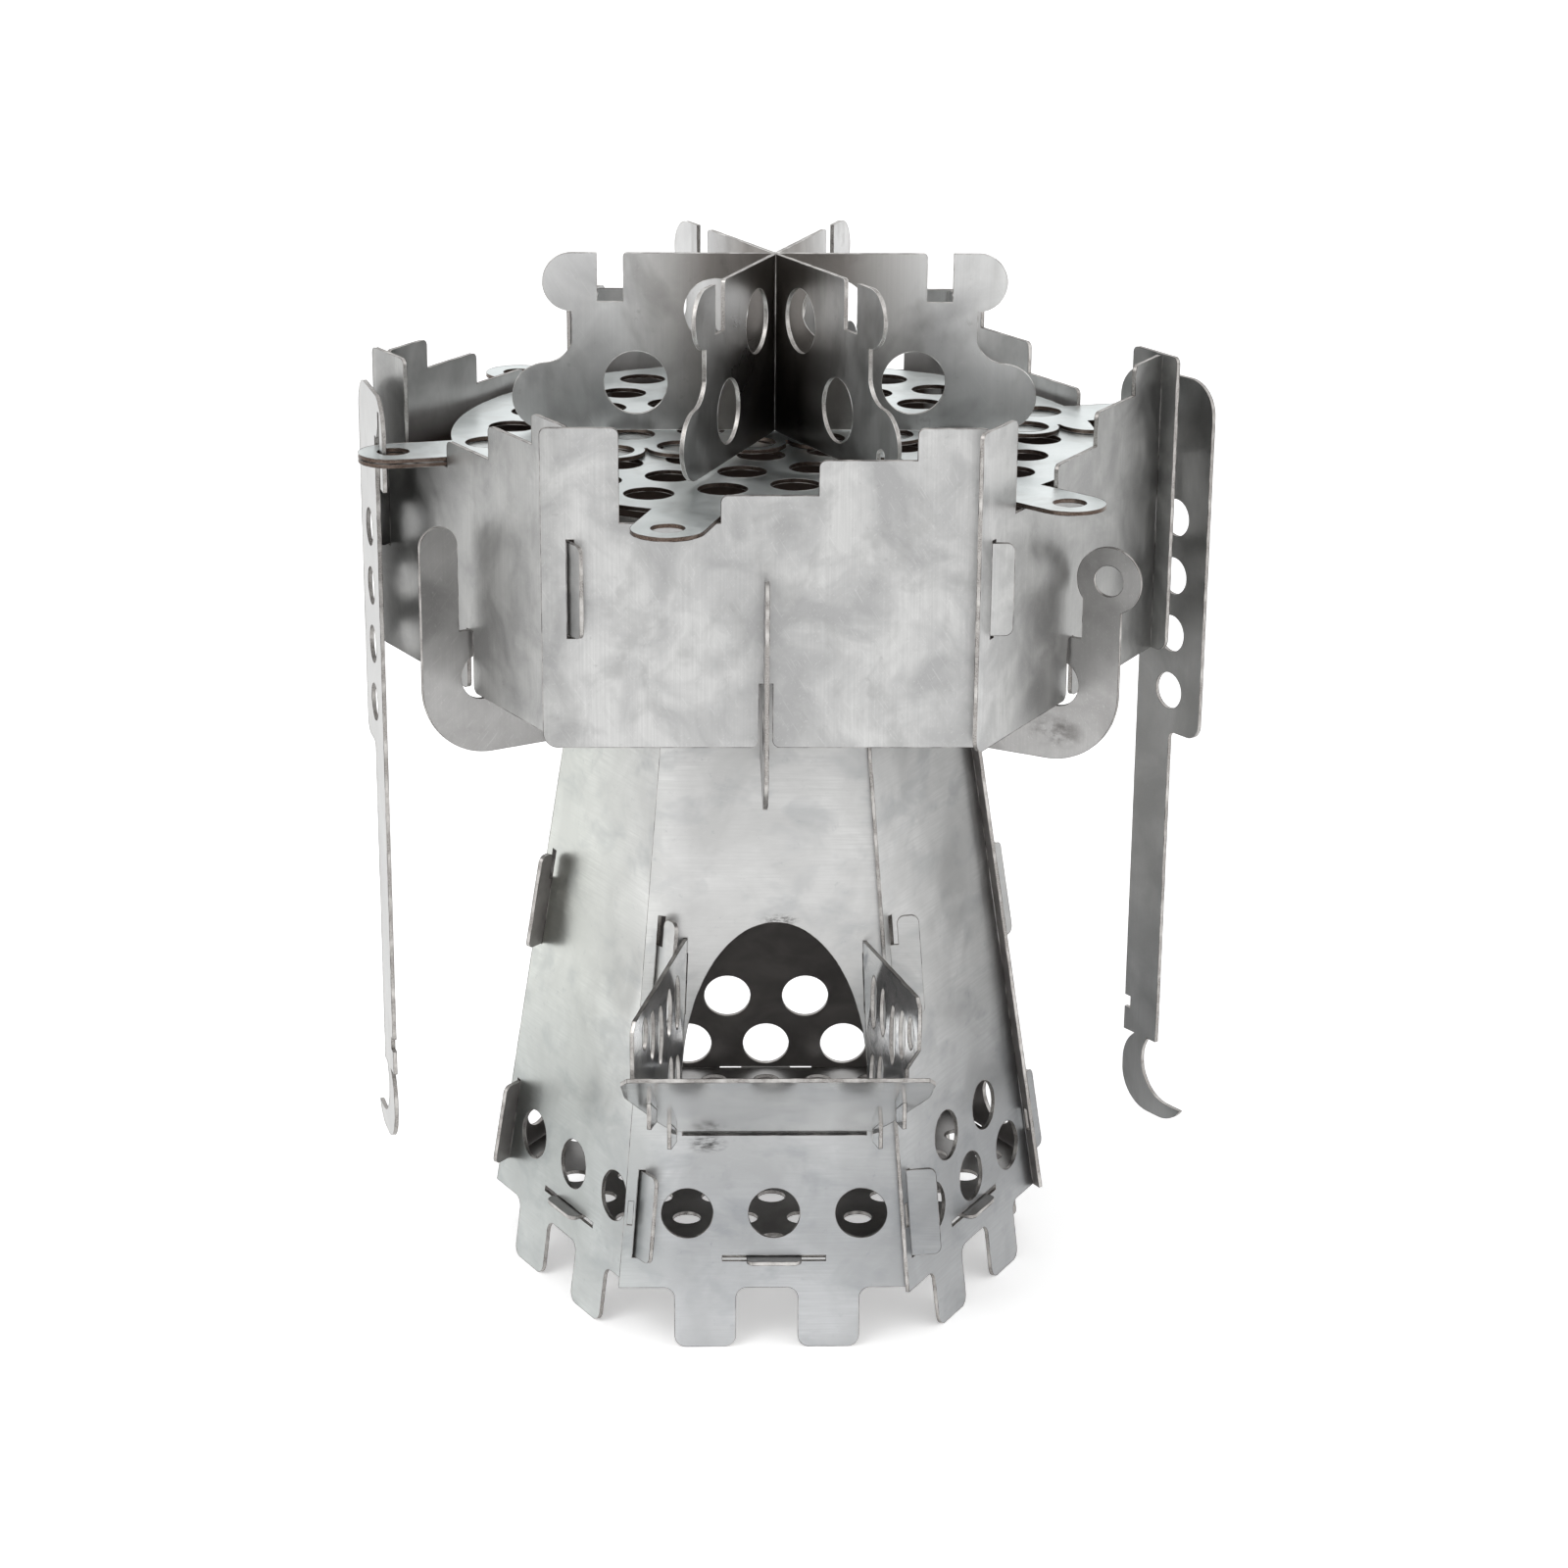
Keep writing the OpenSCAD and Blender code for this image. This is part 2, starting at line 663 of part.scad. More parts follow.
module arm_front() { arm(0, false); }
module arm_front_right() { arm(1, true); }
module arm_back_right() { arm(2, false); }
module arm_back() { arm(3, true); }
module arm_back_left() { arm(4, true); }
module arm_front_left() { arm(5, false); }

// Holes of a half grate: rows run along the seam, and every other row is set over by half a pitch
module grate_holes() {
    last = ceil(grate_r / row_rise);
    across = ceil(grate_r / grate_pitch);
    for (row = [-1 : last], k = [-across : across]) {
        x = (k + (row % 2 == 0 ? 0 : 0.5)) * grate_pitch;
        y = row_start + row * row_rise;
        if (norm([x, y]) + grate_hole_d / 2 + grate_rim < grate_r)
            translate([x, y]) circle(d = grate_hole_d);
    }
}

module half_grate() {
    edge_y = row_start - row_rise;
    across = ceil(grate_r / grate_pitch);
    cut_sheet() difference() {
        union() {
            intersection() {
                circle(grate_r, $fn = 128);
                union() {
                    translate([-grate_r - over, edge_y]) square([2 * (grate_r + over), 2 * grate_r]);
                    for (k = [-across : across]) translate([(k + 0.5) * grate_pitch, edge_y])
                        circle(d = grate_hole_d + 2 * scallop_web);
                }
            }
            for (a = [0, 60, 120, 180]) rotate([0, 0, a]) {
                translate([ear_r, 0]) circle(ear_end_r);
                translate([grate_r - ear_end_r, -stem_w / 2]) square([ear_r - grate_r + ear_end_r, stem_w]);
            }
        }
        grate_holes();
        for (a = [0, 60, 120, 180]) rotate([0, 0, a]) translate([ear_r, 0]) circle(d = ear_hole_d);
    }
}

module lower_grate() {
    color(steel) translate([0, 0, low_grate_z + sheet / 2]) rotate([0, 0, grate_turn + 180]) half_grate();
}

module upper_grate() {
    color(steel) translate([0, 0, high_grate_z + sheet / 2]) rotate([0, 0, grate_turn]) half_grate();
}

// One side of a pot plate: x outwards from the middle, y up from the grate
module pot_half(hatch) {
    knob_x = knob_out - knob_r;
    knob_y = stand_h - knob_r;
    lobe_x = lobe_out - lobe_r;
    neck_y = stand_h * neck_share;
    difference() {
        union() {
            square([neck_out, stand_h - pot_slot_depth - sheet]);
            round_box([-corner_r * 2, 0], [pot_slot_in, stand_h], corner_r / 2);
            translate([pot_slot_in + pot_slot_w, neck_y])
                square([knob_x - pot_slot_in - pot_slot_w, stand_h - neck_y]);
            translate([knob_x, knob_y]) circle(knob_r);
            translate([lobe_x, lobe_r]) circle(lobe_r);
            square([lobe_x, 2 * lobe_r]);
            translate([neck_out, 2 * lobe_r]) fillet((lobe_out - neck_out) / 2);
        }
        for (h = [lower_hole_shares, upper_hole_shares])
            translate([h[0] * lobe_out, h[1] * stand_h]) circle(d = stand_hole_d);
        translate([pot_slot_in, stand_h - pot_slot_depth])
            round_box([0, 0], [pot_slot_w, pot_slot_depth + over], corner_r);
        if (hatch) translate([lobe_x - hatch_w / 2, -over]) {
            square([hatch_w, over + hatch_h - hatch_w / 2]);
            translate([hatch_w / 2, over + hatch_h - hatch_w / 2]) circle(d = hatch_w);
        }
    }
}

// The plates keep their lower, middle or upper third where they cross
module pot_plate(turn, third, hatch) {
    color(dark_steel) translate([0, 0, stand_z]) rotate([0, 0, turn]) rotate([90, 0, 0]) cut_sheet()
        difference() {
            union() {
                pot_half(hatch);
                mirror([1, 0]) pot_half(false);
            }
            for (k = [0 : 2]) if (k != third)
                translate([-cross_slot / 2, k * stand_h / 3 - (k == 0 ? over : fit)])
                    square([cross_slot, stand_h / 3 + (k == 1 ? 2 * fit : over + fit)]);
        }
}

module pot_plate_across() { pot_plate(0, 2, false); }
module pot_plate_rising() { pot_plate(rising_az, 1, false); }
module pot_plate_falling() { pot_plate(falling_az, 0, true); }

// The tool's own plane: x from the eye that it hangs in, y up
module tool_outline() {
    far = edge_a + handle_w;
    tongue_in = tongue_out - tongue_w;
    bend_mid = (tongue_in + far) / 2;
    shank_far = edge_a + shank_w;
    difference() {
        union() {
            round_box([edge_a, handle_low_z], [far, tool_top_z - tool_round], handle_r);
            translate([edge_a, handle_low_z]) square([handle_r, 2 * handle_r]);
            translate([shank_far, handle_low_z]) mirror([0, 1]) fillet(corner_r);
            translate([edge_a, tool_top_z - 2 * tool_round]) square([handle_w, tool_round]);
            translate([edge_a, tool_low_z + 2 * hook_round])
                square([shank_w, handle_low_z - tool_low_z - 2 * hook_round + 2 * corner_r]);
            translate([edge_a, tool_low_z]) tool_hook();
            intersection() {
                translate([tongue_in, tool_top_z - 2 * tool_round])
                    round_box([0, 0], [far - tongue_in, 2 * tool_round], tool_round - sheet);
                translate([tongue_in, tool_top_z - tool_round - sheet])
                    square([far - tongue_in, 2 * tool_round]);
            }
            translate([tongue_in, low_grate_z - tongue_drop])
                square([tongue_w, tool_top_z - tool_round - low_grate_z + tongue_drop]);
        }
        slit();
        for (k = [0 : 3])
            translate([edge_a + handle_w / 2, handle_low_z + handle_first + k * handle_pitch])
                circle(d = handle_hole_d);
        translate([edge_a - over, tool_low_z + nick_rise]) square([over + nick_w, nick_h]);
    }
}

// The hook at the tool's foot, which opens away from the straight edge
module tool_hook() {
    inner = shank_w + hook_round / 2;
    difference() {
        round_box([0, 0], [2 * hook_round + tip_w, 2 * hook_round + corner_r], hook_round);
        translate([inner, tip_w + hook_round]) circle(hook_round);
        translate([shank_w, tip_w + hook_round]) square([2 * hook_round, 2 * hook_round]);
        translate([inner, tip_w]) square([2 * hook_round, 2 * hook_round]);
    }
}

// The slit between the tongue and the handle: its shoulder rests on the ear, and it narrows above that
module slit() {
    low = low_grate_z - tongue_drop - over;
    ear_top = high_grate_z + sheet + seat;
    narrow = tongue_out + slit_w;
    polygon([
        [tongue_out, low],
        [edge_a, low],
        [edge_a, ear_top],
        [edge_a - slit_shoulder, ear_top],
        [narrow, ear_top + slit_taper],
        [narrow, ear_top + slit_rise],
        [tongue_out, ear_top + slit_rise]]);
}

// The tongue stands off the middle of its eye, on side 1 or -1
module hung_tool(ear_az, az, side) {
    color(steel) rotate([0, 0, ear_az]) translate([ear_r, 0, 0]) rotate([0, 0, az - ear_az])
        translate([0, side * hang_side, 0]) rotate([90, 0, 0]) cut_sheet() tool_outline();
}

module tool_left() { hung_tool(grate_turn + 180, left_tool_az, 1); }
module tool_right() { hung_tool(grate_turn, right_tool_az, -1); }

tower_front();
tower_front_right();
tower_back_right();
tower_back();
tower_back_left();
tower_front_left();
floor_grate();
chute_plate();
chute_wall_left();
chute_wall_right();
box_front();
box_front_right();
box_back_right();
box_back();
box_back_left();
box_front_left();
arm_front();
arm_front_right();
arm_back_right();
arm_back();
arm_back_left();
arm_front_left();
lower_grate();
upper_grate();
pot_plate_across();
pot_plate_rising();
pot_plate_falling();
tool_left();
tool_right();
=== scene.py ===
import json
import math

import bmesh
import bpy
from mathutils import Matrix, Vector


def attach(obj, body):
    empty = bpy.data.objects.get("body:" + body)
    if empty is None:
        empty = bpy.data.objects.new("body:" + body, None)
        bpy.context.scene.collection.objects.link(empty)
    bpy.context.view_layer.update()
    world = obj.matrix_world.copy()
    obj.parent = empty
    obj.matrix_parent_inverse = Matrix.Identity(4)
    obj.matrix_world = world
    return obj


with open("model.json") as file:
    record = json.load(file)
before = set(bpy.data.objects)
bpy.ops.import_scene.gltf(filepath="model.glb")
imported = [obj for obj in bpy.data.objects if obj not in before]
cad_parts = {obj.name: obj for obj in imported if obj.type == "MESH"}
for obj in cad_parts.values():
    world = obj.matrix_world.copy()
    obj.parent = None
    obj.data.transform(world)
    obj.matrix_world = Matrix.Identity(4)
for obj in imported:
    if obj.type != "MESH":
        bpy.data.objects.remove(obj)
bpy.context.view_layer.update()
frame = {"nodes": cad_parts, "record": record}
nodes = frame["nodes"]
bodies = frame["record"]["behaviour"]["bodies"]
slotOf = {part["node"]: part["material_slot"] for part in frame["record"]["subparts"]}
mm = 0.001
print("frame loaded,", len(nodes), "sheets")


def hexColour(text):
    # sRGB hex to the linear colour that a shader socket takes
    channels = [int(text[i:i + 2], 16) / 255 for i in (1, 3, 5)]
    linear = [c / 12.92 if c <= 0.04045 else ((c + 0.055) / 1.055) ** 2.4 for c in channels]
    return (*linear, 1.0)


def addNode(tree, kind, settings=None, inputs=None):
    # settings are the node's own properties, each input is a number, a hex colour or another node's output
    node = tree.nodes.new(kind)
    for name, value in (settings or {}).items():
        setattr(node, name, value)
    for key, value in (inputs or {}).items():
        if isinstance(value, bpy.types.NodeSocket):
            tree.links.new(value, node.inputs[key])
        else:
            node.inputs[key].default_value = hexColour(value) if isinstance(value, str) else value
    return node


# Camera

cameraFit = {
    "target": (3.9 * mm, 0.0, 161.3 * mm),
    "distance": 1150.9 * mm,
    "turn": -1.44,          # degrees round the stove from straight in front
    "lookDown": 18.69,
    "roll": 0.45,
    "focalPixels": 3622.6,  # for the photograph's 1600 pixels of width
    "imagePixels": 1600,
    "sensor": 36.0,
    "clipStart": 10 * mm,
}


def placeCamera(fit):
    turn, down, roll = (math.radians(fit[key]) for key in ("turn", "lookDown", "roll"))
    forward = Vector((-math.sin(turn) * math.cos(down), math.cos(turn) * math.cos(down), -math.sin(down)))
    right = Vector((math.cos(turn), math.sin(turn), 0.0))
    up = right.cross(forward)
    rolledRight = right * math.cos(roll) + up * math.sin(roll)
    rolledUp = up * math.cos(roll) - right * math.sin(roll)
    data = bpy.data.cameras.new("camera")
    data.sensor_width = fit["sensor"]
    data.lens = fit["sensor"] * fit["focalPixels"] / fit["imagePixels"]
    data.clip_start = fit["clipStart"]
    camera = bpy.data.objects.new("camera", data)
    axes = Matrix((rolledRight, rolledUp, -forward)).transposed()
    standpoint = Vector(fit["target"]) - forward * fit["distance"]
    camera.matrix_world = Matrix.Translation(standpoint) @ axes.to_4x4()
    bpy.context.scene.collection.objects.link(camera)
    bpy.context.scene.camera = camera


placeCamera(cameraFit)
print("camera placed")


# Materials

# How each noise is built, and the span of its value that is stretched over 0 to 1
grains = {
    "cloud": {"build": {"Detail": 4.0, "Roughness": 0.55, "Distortion": 0.6}, "span": (0.36, 0.64)},
    "patch": {"build": {"Detail": 3.0, "Roughness": 0.6, "Distortion": 0.4}, "span": (0.52, 0.68)},
    "brush": {"build": {"Detail": 2.0, "Roughness": 0.55, "Distortion": 0.0}, "span": (0.3, 0.7)},
    "smudge": {"build": {"Detail": 5.0, "Roughness": 0.7, "Distortion": 0.0}, "span": (0.62, 0.74)},
    "scratch": {"build": {"Detail": 1.0, "Roughness": 0.5, "Distortion": 0.3}, "span": (0.66, 0.72)},
    "soot": {"build": {"Detail": 5.0, "Roughness": 0.7, "Distortion": 0.0}, "span": (0.42, 0.62)},
    "cutRidge": {"build": {"Detail": 3.0, "Roughness": 0.7, "Distortion": 0.0}, "span": (0.35, 0.65)},
    "cutCloud": {"build": {"Detail": 3.0, "Roughness": 0.55, "Distortion": 0.0}, "span": (0.46, 0.66)},
    "edgeGlint": {"build": {"Detail": 3.0, "Roughness": 0.55, "Distortion": 0.0}, "span": (0.42, 0.62)},
}
# Where other blends begin and end
roughSpan = (0.3, 0.7)      # value of the noise that varies the gloss
insideSpan = (0.35, 0.65)   # value of the noise that mottles the inner faces
inwardSpan = (-0.3, -0.6)   # cosine of the angle between a face and the way out from the axis
markSpan = (1.0, 0.2)       # distance from a mark's middle, in its half sizes
reachBlur = 1               # millimetres to each side of the radius that the darker inside reaches
darkUnderBlur = 4                # millimetres above and below the height that the darker part below ends at


def startMaterial(name):
    material = bpy.data.materials.new(name)
    material.use_nodes = True
    material.node_tree.nodes.clear()
    return material, material.node_tree


def noise(tree, place, cell, kind, turn=(0, 0, 0)):
    # one cell of the noise has these sizes in millimetres, along the object's axes turned by these degrees
    angles = [math.radians(degrees) for degrees in turn]
    turned = addNode(tree, "ShaderNodeMapping", inputs={"Vector": place, "Rotation": angles})
    perMetre = [1 / (size * mm) for size in cell]
    scaled = addNode(tree, "ShaderNodeMapping", inputs={"Vector": turned.outputs[0], "Scale": perMetre})
    inputs = {"Vector": scaled.outputs[0], "Scale": 1.0, **grains[kind]["build"]}
    return addNode(tree, "ShaderNodeTexNoise", inputs=inputs).outputs["Fac"]


def remap(tree, value, span, onto=(0.0, 1.0)):
    # carries the span onto another one, and stays at its ends beyond them
    ends = {"From Min": span[0], "From Max": span[1], "To Min": onto[0], "To Max": onto[1]}
    return addNode(tree, "ShaderNodeMapRange", inputs={"Value": value, **ends}).outputs[0]


def combine(tree, operation, first, second):
    return addNode(tree, "ShaderNodeMath", {"operation": operation}, {0: first, 1: second}).outputs[0]


def vectorMath(tree, operation, first, second=None):
    inputs = {0: first} if second is None else {0: first, 1: second}
    node = addNode(tree, "ShaderNodeVectorMath", {"operation": operation}, inputs)
    return node.outputs["Value" if operation in ("LENGTH", "DOT_PRODUCT") else "Vector"]


def mixColour(tree, share, first, second, blend="MIX"):
    settings = {"data_type": "RGBA", "blend_type": blend}
    return addNode(tree, "ShaderNodeMix", settings, {0: share, 6: first, 7: second}).outputs[2]


def fromAxis(tree, place):
    # the way from the stove's upright axis to the place, at the place's own height
    return vectorMath(tree, "MULTIPLY", place, (1, 1, 0))


def radiusOf(tree, place):
    return vectorMath(tree, "LENGTH", fromAxis(tree, place))


def along(tree, place, axis):
    return addNode(tree, "ShaderNodeSeparateXYZ", inputs={0: place}).outputs[axis]


def inwardMask(tree, place, reach):
    # 1 on faces that look at the upright axis, 0 on those that look away or lie beyond the reach
    outward = vectorMath(tree, "NORMALIZE", fromAxis(tree, place))
    normal = addNode(tree, "ShaderNodeNewGeometry").outputs["True Normal"]
    inward = remap(tree, vectorMath(tree, "DOT_PRODUCT", outward, normal), inwardSpan)
    within = remap(tree, radiusOf(tree, place), ((reach + reachBlur) * mm, (reach - reachBlur) * mm))
    return combine(tree, "MULTIPLY", inward, within)


def markMask(tree, place, mark):
    # 1 at the middle of a mark, 0 beyond its half sizes, broken up by fine noise
    shifted = vectorMath(tree, "SUBTRACT", place, [size * mm for size in mark["middle"]])
    scaled = vectorMath(tree, "DIVIDE", shifted, [size * mm for size in mark["half"]])
    near = remap(tree, vectorMath(tree, "LENGTH", scaled), markSpan)
    broken = remap(tree, noise(tree, place, mark["grain"], "soot"), grains["soot"]["span"])
    return combine(tree, "MULTIPLY", near, broken)


def paintLightAndShade(tree, place, base, shade):
    # paints light and shade: blends the colour in gradually along one measure of the place, in millimetres
    if shade["by"] == "radius":
        measure = radiusOf(tree, place)
    elif shade["by"] == "X both ways":
        measure = combine(tree, "ABSOLUTE", along(tree, place, "X"), 0.0)
    else:
        measure = along(tree, place, shade["by"])
    share = remap(tree, measure, (shade["start"] * mm, shade["end"] * mm))
    full = mixColour(tree, 1.0, base, shade["colour"], shade.get("blend", "MULTIPLY"))
    return mixColour(tree, share, base, full)


def darkenedInside(tree, place, base, metal, patchy, look):
    # the faces round the fire, made darker and less metallic, and darker still below a height where the
    # look gives one
    inward = inwardMask(tree, place, look["insideReach"])
    colour = mixColour(tree, remap(tree, patchy, insideSpan), look["inside"], look["insideLight"])
    if "darkUnder" in look:
        heights = ((look["darkUnder"] + darkUnderBlur) * mm, (look["darkUnder"] - darkUnderBlur) * mm)
        under = remap(tree, along(tree, place, "Z"), heights)
        colour = mixColour(tree, under, colour, look["darkUnderColour"])
    base = mixColour(tree, inward, base, colour)
    metal = combine(tree, "SUBTRACT", metal, combine(tree, "MULTIPLY", inward, look["insideDulling"]))
    return base, metal


def metalSurface(tree, colour, rough, metal=1.0, extra=None):
    inputs = {"Base Color": colour, "Roughness": rough, "Metallic": metal, **(extra or {})}
    shader = addNode(tree, "ShaderNodeBsdfPrincipled", inputs=inputs)
    addNode(tree, "ShaderNodeOutputMaterial", inputs={"Surface": shader.outputs[0]})


def steelSheet(name, look):
    material, tree = startMaterial(name)
    place = addNode(tree, "ShaderNodeTexCoord").outputs["Object"]
    cloudy = noise(tree, place, look["cloud"], "cloud")
    patchy = noise(tree, place, look["patch"], "patch")
    brushed = noise(tree, place, look["brush"], "brush")
    spotty = noise(tree, place, look["smudge"], "smudge")
    # wiped mill finish: soft clouds, darker patches, fine brush lines, then small stains
    base = mixColour(tree, remap(tree, cloudy, grains["cloud"]["span"]), look["dark"], look["light"])
    layers = (("patch", patchy, "stainAndReflection"), ("brush", brushed, "dark"), ("smudge", spotty, "stainAndReflection"))
    for kind, value, colour in layers:
        share = remap(tree, value, grains[kind]["span"], (0.0, look[kind + "Depth"]))
        base = mixColour(tree, share, base, look[colour])
    height = brushed
    for turn in look["scratchTurns"]:
        # hairline scratches from handling, a few at each slant
        line = noise(tree, place, look["scratch"], "scratch", turn)
        hair = remap(tree, line, grains["scratch"]["span"], (0.0, look["scratchDepth"]))
        base = mixColour(tree, hair, base, look["hair"])
        height = combine(tree, "ADD", height, hair)
    for shade in look["paintedLightAndShade"]:
        base = paintLightAndShade(tree, place, base, shade)
    metal = look["metal"]
    for mark in look["marks"]:
        mask = markMask(tree, place, mark)
        base = mixColour(tree, mask, base, mark["colour"])
        metal = combine(tree, "SUBTRACT", metal, mask)
    if "inside" in look:
        base, metal = darkenedInside(tree, place, base, metal, patchy, look)
    glossEnds = (look["rough"] - look["roughSpread"], look["rough"] + look["roughSpread"])
    rough = remap(tree, cloudy, roughSpan, glossEnds)
    relief = {"Height": height, "Strength": look["bump"], "Distance": look["bumpHeight"] * mm}
    bump = addNode(tree, "ShaderNodeBump", inputs=relief)
    metalSurface(tree, base, rough, metal, {"Normal": bump.outputs[0]})
    return material


# Cold-rolled stainless sheet as cut, 2B mill finish: pale, soft, a little cloudy
millSheet = {
    "light": "#d2d2d1", "dark": "#bababa", "stainAndReflection": "#a2a2a0", "hair": "#e3e3e2",
    "cloud": (26, 26, 26),
    "patch": (16, 16, 34), "patchDepth": 0.4,
    "smudge": (4.5, 4.5, 4.5), "smudgeDepth": 0.3,
    "brush": (0.5, 0.5, 30), "brushDepth": 0.22,
    "scratch": (0.35, 0.35, 8), "scratchDepth": 0.15, "scratchTurns": ((0, 32, 0), (24, -38, 0)),
    "rough": 0.36, "roughSpread": 0.08,
    "bump": 0.3, "bumpHeight": 0.02,
    "metal": 1.0,
    "paintedLightAndShade": [], "marks": [],
}
# Bright annealed sheet with its film peeled off: close to a mirror
brightSheet = {**millSheet, "brushDepth": 0.05, "bump": 0.08}
# The small stains on the more handled sheets
fineSmudge = (3, 3, 3)

# Each finish dresses the sheets of one slot whose names start with its prefix, the first that fits
looks = {
    # brushed across, with soot where the fire has licked through
    "brushedStainless": {
        **millSheet,
        "slot": "panel_steel", "prefix": "tower_",
        "light": "#e6e6e5", "dark": "#c9c9c8", "stainAndReflection": "#a0a4a8",
        "patch": (18, 18, 12),
        "smudge": fineSmudge, "smudgeDepth": 0.4,
        "brush": (16, 16, 0.6), "brushDepth": 0.5, "bump": 0.45,
        "scratchTurns": ((0, 78, 0), (20, -62, 0)),
        # painted light and shade: the left side lighter and a little green, the right side darker, the
        # lower part darker and bluish, the feet lighter again, and the top darker under the fire box
        "paintedLightAndShade": [
            {"by": "X", "start": -30, "end": -62, "colour": "#f6f9f4"},
            {"by": "X", "start": -34, "end": -26, "colour": "#eeeeee"},
            {"by": "X", "start": 18, "end": 50, "colour": "#efefef"},
            {"by": "X", "start": 36, "end": 60, "colour": "#ebebeb"},
            {"by": "Z", "start": 112, "end": 48, "colour": "#d3d5d8"},
            {"by": "Z", "start": 34, "end": 8, "colour": "#5c5c5c", "blend": "ADD"},
            {"by": "Z", "start": 150, "end": 212, "colour": "#e6e6e6"},
        ],
        "inside": "#757170", "insideLight": "#8a8684", "insideDulling": 0.55, "insideReach": 118,
        "marks": [
            {"middle": (1.5, -62, 137.6), "half": (7, 9, 2.2), "grain": (1.6, 1.6, 0.7),
             "colour": "#4a4745"},
            {"middle": (-21, -71, 66.4), "half": (7, 9, 3.6), "grain": (3, 3, 0.7),
             "colour": "#3c3a39"},
        ],
    },
    # the fire box is greyer and more mottled, and darker inside, most below its rim
    "coldRolledStainless": {
        **millSheet,
        "slot": "panel_steel", "prefix": "box_",
        "light": "#c6c6c5", "dark": "#9f9f9f", "stainAndReflection": "#939392",
        "cloud": (19, 19, 19), "patch": (10, 10, 15),
        "smudge": fineSmudge, "smudgeDepth": 0.45,
        "brushDepth": 0.32,
        # painted shade: the box is darker towards its left and right sides
        "paintedLightAndShade": [{"by": "X both ways", "start": 58, "end": 74, "colour": "#e4e4e3"}],
        "inside": "#a9a8a7", "insideLight": "#bebdbc", "insideDulling": 0.2, "insideReach": 118,
        "darkUnder": 274, "darkUnderColour": "#443a35",
    },
    # the arms are darker than the box, and one has a thumb mark under its eye
    "warmColdRolledStainless": {
        **millSheet,
        "slot": "panel_steel", "prefix": "",
        "light": "#b7b6b5", "dark": "#9a9998", "stainAndReflection": "#8b8988",
        "patchDepth": 0.5, "rough": 0.38,
        "marks": [
            {"middle": (85.7, -54.3, 197), "half": (11, 11, 6), "grain": (9, 9, 7), "colour": "#676360"},
        ],
    },
    # the floor grate lies under the embers and has darkened
    "emberDarkenedStainless": {
        **millSheet,
        "slot": "grate_steel", "prefix": "floor_",
        "light": "#847f7c", "dark": "#645f5c", "stainAndReflection": "#55504e",
        "metal": 0.75,
    },
    # the half grates are brushed from side to side, and the faint blue in their colours is a painted
    # reflection
    "coldRolledStainlessGrate": {
        **millSheet,
        "slot": "grate_steel", "prefix": "",
        "light": "#f2f7f7", "dark": "#dfe6e6", "stainAndReflection": "#b3b2ae",
        "patchDepth": 0.3, "smudge": fineSmudge, "brush": (30, 0.5, 0.5),
    },
    # painted shade: the stand is darkened and slightly warmed towards its middle, and darkened low on its
    # wings
    "standStainlessPaintedShade": {
        **millSheet,
        "slot": "stand_steel", "prefix": "",
        "light": "#dadad9", "dark": "#bababa", "stainAndReflection": "#82807d",
        "rough": 0.34,
        "paintedLightAndShade": [
            {"by": "radius", "start": 50, "end": 20, "colour": "#a6a19d"},
            {"by": "Z", "start": 312, "end": 284, "colour": "#cbcbcb"},
        ],
    },
    "coldRolledStainlessTool": {
        **millSheet,
        "slot": "tool_steel", "prefix": "",
        "light": "#c4c4c3", "dark": "#aaaaa9",
    },
    # the chute's walls are closest to a mirror, with broad darker painted reflections
    "brightAnnealedStainlessWall": {
        **brightSheet,
        "slot": "polished_steel", "prefix": "chute_wall",
        "light": "#fcfcfb", "dark": "#dcdee0", "stainAndReflection": "#8a8f96",
        "patch": (10, 10, 8), "patchDepth": 0.7,
        "rough": 0.11, "roughSpread": 0.04, "metal": 0.9,
    },
    "brightAnnealedStainless": {
        **brightSheet,
        "slot": "polished_steel", "prefix": "",
        "light": "#e8e8e7", "dark": "#d6d7d7", "stainAndReflection": "#c6c5c3",
        "rough": 0.13, "roughSpread": 0.05, "metal": 0.88,
    },
}

# The sheet's thickness, a finely ridged laser cut
cutFace = {"ridge": (0.35, 0.35, 0.35), "cloud": (7, 7, 7), "rough": (0.3, 0.5), "flatCosine": 0.5}
cutFaces = {
    # bright where the cut was made in the open
    "laserCutFace": {"dark": "#7d7976", "light": "#b3b0ad", "pale": "#d6d4d1", "paleShare": 0.7},
    # brown on the grates, which the fire heats
    "oxidisedCutFace": {"dark": "#3d322c", "light": "#6c5e56", "pale": "#8f857e", "paleShare": 0.4},
}


def lookFor(name):
    for finish, look in looks.items():
        if look["slot"] == slotOf[name] and name.startswith(look["prefix"]):
            return finish


def cutFaceSteel(name, look):
    material, tree = startMaterial(name)
    place = addNode(tree, "ShaderNodeTexCoord").outputs["Object"]
    ridges = noise(tree, place, cutFace["ridge"], "cutRidge")
    clouds = noise(tree, place, cutFace["cloud"], "cutCloud")
    base = mixColour(tree, remap(tree, ridges, grains["cutRidge"]["span"]), look["dark"], look["light"])
    paleness = remap(tree, clouds, grains["cutCloud"]["span"], (0.0, look["paleShare"]))
    base = mixColour(tree, paleness, base, look["pale"])
    metalSurface(tree, base, remap(tree, ridges, roughSpan, cutFace["rough"]))
    return material


